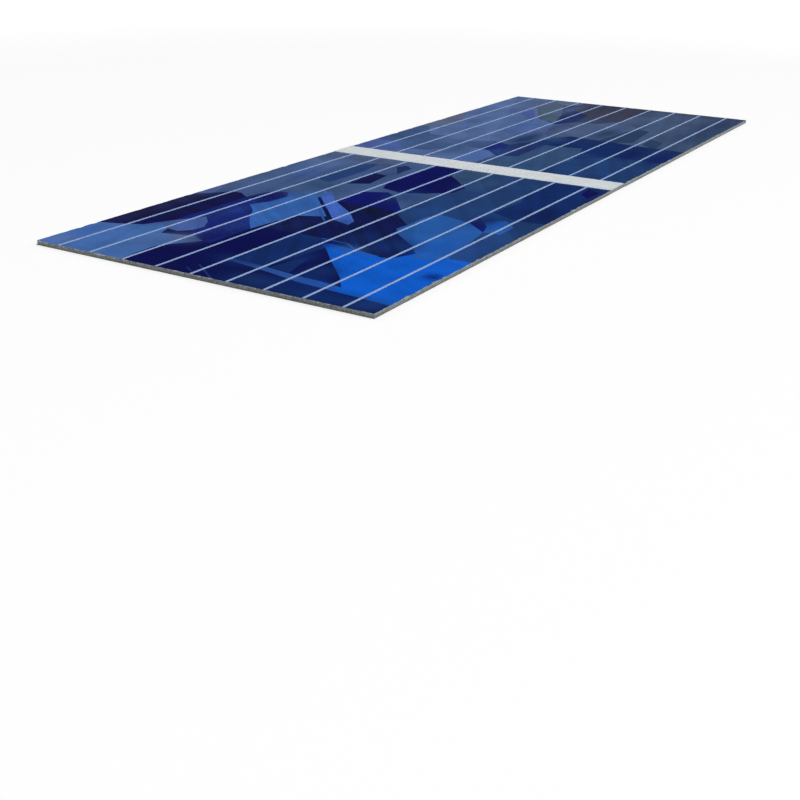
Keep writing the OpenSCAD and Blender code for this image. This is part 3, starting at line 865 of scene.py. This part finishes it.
# %% [markdown]
# ## Flat layers
# The band and the pastes on the rear are thin layers whose outer face has a fine relief. Each is a
# grid of points for the upper face and the same grid again for the lower face, joined along the
# border. Two numbers run over the grid, along and across, and functions of them give x, y and height.

# %% Layer helper
def layer(x, y, upper, lower):
    """Points and faces of a closed layer between two heights over the same grid of x and y."""
    rows, columns = x.shape
    points = np.concatenate([np.stack([x, y, np.broadcast_to(z, x.shape)], 2).reshape(-1, 3)
                             for z in (upper, lower)])
    count = rows * columns
    number = np.arange(count).reshape(rows, columns)
    border = np.concatenate([number[:-1, 0], number[-1, :-1], number[:0:-1, -1], number[0, :0:-1]])
    beyond = np.roll(border, -1)
    sides = np.stack([beyond, border, border + count, beyond + count], 1)
    faces = np.concatenate([grid_faces(rows, columns), grid_faces(rows, columns, count)[:, ::-1], sides])
    return points, faces


def turned_out(points, faces):
    """Turns the faces of a closed layer round where its signed volume is negative."""
    a, b, c = points[faces[:, 0]], points[faces[:, 1]], points[faces[:, 2]]
    d = points[faces[:, 3]]
    volume = (np.cross(a, b) * c).sum() + (np.cross(a, c) * d).sum()
    return (faces if volume > 0 else faces[:, ::-1]).tolist()


square_x, square_y = np.meshgrid([0, 1], [0, 1])
print("the simplest layer is a box of", len(layer(square_x, square_y, 1, 0)[1]), "faces")

# %% [markdown]
# ## The silver band
# The band crosses all the lines and is what a ribbon is soldered to. Its long sides are slumped
# round and slightly wavy, its face dips between the wires of the screen, and it swells a little over
# each line that runs under it. The four shares of its relief add up to one, so it stays under the
# packed band's height. Its two ends stop where the plate's rim is broken away.

# %% Band
rows_x, columns_y, side_wave = 61, 381, 0.004
v, u = np.meshgrid(np.linspace(-1, 1, columns_y), np.linspace(-1, 1, rows_x))
u = np.sign(u) * (1 - (1 - np.abs(u)) ** 1.5)
y = v * half_y
side_waves = side_wave * np.where(u > 0, wander(y / 0.12, 141), wander(y / 0.12, 142))
half = band_high[0] - side_wave + side_waves
x = u * half
ends_low = -half_y + rim_inset((x + half_x).ravel()).reshape(x.shape)
ends_high = half_y - rim_inset((3 * half_x + 2 * half_y - x).ravel()).reshape(x.shape)
y = np.clip(y, ends_low, ends_high)
thick = band_high[2] - front_z
from_side = np.clip((half - np.abs(x)) / thick, 0, 1)
slump = np.sqrt(np.clip(1 - (1 - from_side) ** 2, 0, 1))
swell = np.exp(-((y[..., None] - np.array(line_y)) / 0.11) ** 2).sum(2)
relief = 0.86 + 0.05 * swell + 0.05 * hills(x / 0.11, y / 0.11, 143) + 0.04 * hills(x / 0.7, y / 0.9, 144)
top = front_z + thick * slump * relief
points, faces = layer(x, y, top, root_z)
make_piece("silver_band", points, turned_out(points, faces), [band_silver], "front_busbar")
print("band relief from", round(float(top.min()), 4), "to", round(float(top.max()), 4), "mm")

# %% [markdown]
# ## The rear
# The silver strip lies on the bare silicon of the rear, flat in the middle and thinning out at its
# long edges. The aluminium covers the rest and laps over those thin edges. Seen from below, the strip
# lies in a window of the aluminium, whose border is wavy from the printing. The faces of both get a
# relief that only ever takes paste away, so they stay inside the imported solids.

# %% Rear strip and aluminium
strip_t = silicon_z - strip_low[2]
strip_flat = strip_high[0] - strip_edge_w
rows_strip, rows_paste, columns_rear = 41, 205, 160


def strip_face(x):
    """The height of the strip's rear face: flat in the middle, thinning along both edges."""
    return silicon_z - np.interp(np.abs(x), [strip_flat, strip_high[0]], [strip_t, strip_edge_t])


def dips(x, y, deepest, apart_mm, seed):
    """A relief of soft dips apart_mm from each other, from 0 to deepest."""
    return deepest * (1 + hills(x / apart_mm, y / apart_mm, seed)) / 2


def rear_layer(name, x, waves, lower, upper, material, node):
    """A layer on the rear over the whole width, its two ends leaning in like the cut edge."""
    v = np.linspace(-1, 1, columns_rear)[None, :]
    x = x[:, None] + waves(v)
    lean = last_inset + score_run * (1 - silicon_z / score_z)
    y = np.broadcast_to(v, x.shape) * (half_y - lean - score_run / 3)
    points, faces = layer(x, y, upper(x), lower(x, y))
    make_piece(name, points, turned_out(points, faces), [material], node)


rear_layer("silver_strip", np.linspace(strip_low[0], strip_high[0], rows_strip), lambda v: 0 * v,
           lambda x, y: strip_face(x) + dips(x, y, 0.0012, 0.15, 151),
           lambda x: np.full(x.shape, silicon_z), strip_silver, "rear_contact")
for number, side in ((1, -1), (2, 1)):
    low, high = box_mm(f"rear_aluminium_{number}")
    inner_x, outer_x = (high[0], low[0]) if side < 0 else (low[0], high[0])
    outer_x -= side * last_inset
    share = np.linspace(0, 1, rows_paste)
    wave = 0.02 * (1 + wander(np.linspace(0, 90, columns_rear), 160 + side))
    rear_layer(f"aluminium_paste_{number}", inner_x + (outer_x - inner_x) * share,
               lambda v: side * wave * (1 - share[:, None]) ** 40,
               lambda x, y: dips(x, y, 0.004, 0.3, 170 + side) + dips(x, y, 0.002, 0.12, 180 + side),
               lambda x: np.where(np.abs(x) > strip_high[0], silicon_z, strip_face(x)),
               paste, f"rear_aluminium_{number}")

# %% [markdown]
# ## Floor and light
# The cell lies on a plain pale floor. To the camera, and in reflections, the floor glows a little,
# which makes it white and keeps the thin shadow beside the cut edge. Far out it glows fully, so that
# no horizon shows. Seen from below it is clear, and rays that only gather light pass through it, so
# that the rear can be looked at too.

# %% Floor
floor_material = bpy.data.materials.new("pale_floor")
floor_material.use_nodes = True
tree = floor_material.node_tree
tree.nodes.clear()
path = add(tree, "ShaderNodeLightPath").outputs
seen = calc(tree, "MAXIMUM", path["Is Camera Ray"], path["Is Glossy Ray"])
seen = calc(tree, "MAXIMUM", seen, path["Is Transmission Ray"])
behind = add(tree, "ShaderNodeNewGeometry").outputs["Backfacing"]
matte = add(tree, "ShaderNodeBsdfDiffuse", {"Color": (0.8, 0.8, 0.8, 1)}).outputs[0]
away = add(tree, "ShaderNodeVectorMath", {0: place_mm(tree)}, operation="LENGTH").outputs["Value"]
near_mm, far_mm = 60, 400
glow = times(tree, seen, spread(tree, away, 0.34, 1.0, near_mm, far_mm))
glow = add(tree, "ShaderNodeEmission", {"Strength": glow}).outputs[0]
solid = add(tree, "ShaderNodeAddShader", {0: matte, 1: glow}).outputs[0]
gathering = calc(tree, "MAXIMUM", path["Is Diffuse Ray"], path["Is Shadow Ray"])
open_to = calc(tree, "MAXIMUM", gathering, behind)
clear = add(tree, "ShaderNodeBsdfTransparent").outputs[0]
mix = add(tree, "ShaderNodeMixShader", {0: open_to, 1: solid, 2: clear}).outputs[0]
add(tree, "ShaderNodeOutputMaterial", {"Surface": mix})
floor_half, floor_z = 1.5, -2e-6
floor_mesh = bpy.data.meshes.new("floor")
signs = ((-1, -1), (1, -1), (1, 1), (-1, 1))
floor_corners = [(x * floor_half, y * floor_half, floor_z) for x, y in signs]
floor_mesh.from_pydata(floor_corners, [], [(0, 1, 2, 3)])
floor_mesh.materials.append(floor_material)
floor = bpy.data.objects.new("floor", floor_mesh)
bpy.context.scene.collection.objects.link(floor)
floor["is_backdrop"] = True
print("floor of", 2 * floor_half, "m square")

# %% [markdown]
# ## Lamps and sky
# Large soft lamps stand above, to the sides and below, and a dim even sky fills the rest. One strong
# lamp would do, but its edge would show as a bright patch on the satin crystals. The sky is white
# only where it is looked at, because the crystals are dark and would turn milky under a bright one.

# %% Lamps and sky
def softbox(name, place, size, watts):
    """A square lamp of this size in metres at this place, turned to the cell and unseen itself."""
    data = bpy.data.lights.new(name, "AREA")
    data.shape, data.size, data.energy = "SQUARE", size, watts
    lamp = bpy.data.objects.new(name, data)
    lamp.location = place
    lamp.rotation_euler = (-Vector(place)).to_track_quat("-Z", "Y").to_euler()
    lamp.visible_camera = False
    bpy.context.scene.collection.objects.link(lamp)


softbox("key", (-0.25, -0.30, 0.40), 0.35, 1.35)
softbox("overhead", (0.05, 0.02, 0.60), 0.40, 1.35)
softbox("side", (0.45, -0.25, 0.22), 0.30, 0.6)
softbox("back", (0.05, 0.50, 0.25), 0.30, 0.5)
softbox("below", (0.0, 0.0, -0.55), 0.45, 3.0)

world = bpy.data.worlds.new("sky")
bpy.context.scene.world = world
world.use_nodes = True
tree = world.node_tree
background = tree.nodes["Background"]
background.inputs["Color"].default_value = (1, 1, 1, 1)
path = add(tree, "ShaderNodeLightPath").outputs
seen = calc(tree, "MAXIMUM", path["Is Camera Ray"], path["Is Transmission Ray"])
dim, white = 0.06, 1.0
tree.links.new(spread(tree, seen, dim, white, 0, 1), background.inputs["Strength"])
bpy.context.scene.view_settings.view_transform = "Standard"

# %% Finish
low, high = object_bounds()
print("scene box in mm:", [[round(v / MM, 4) for v in corner] for corner in (low, high)])
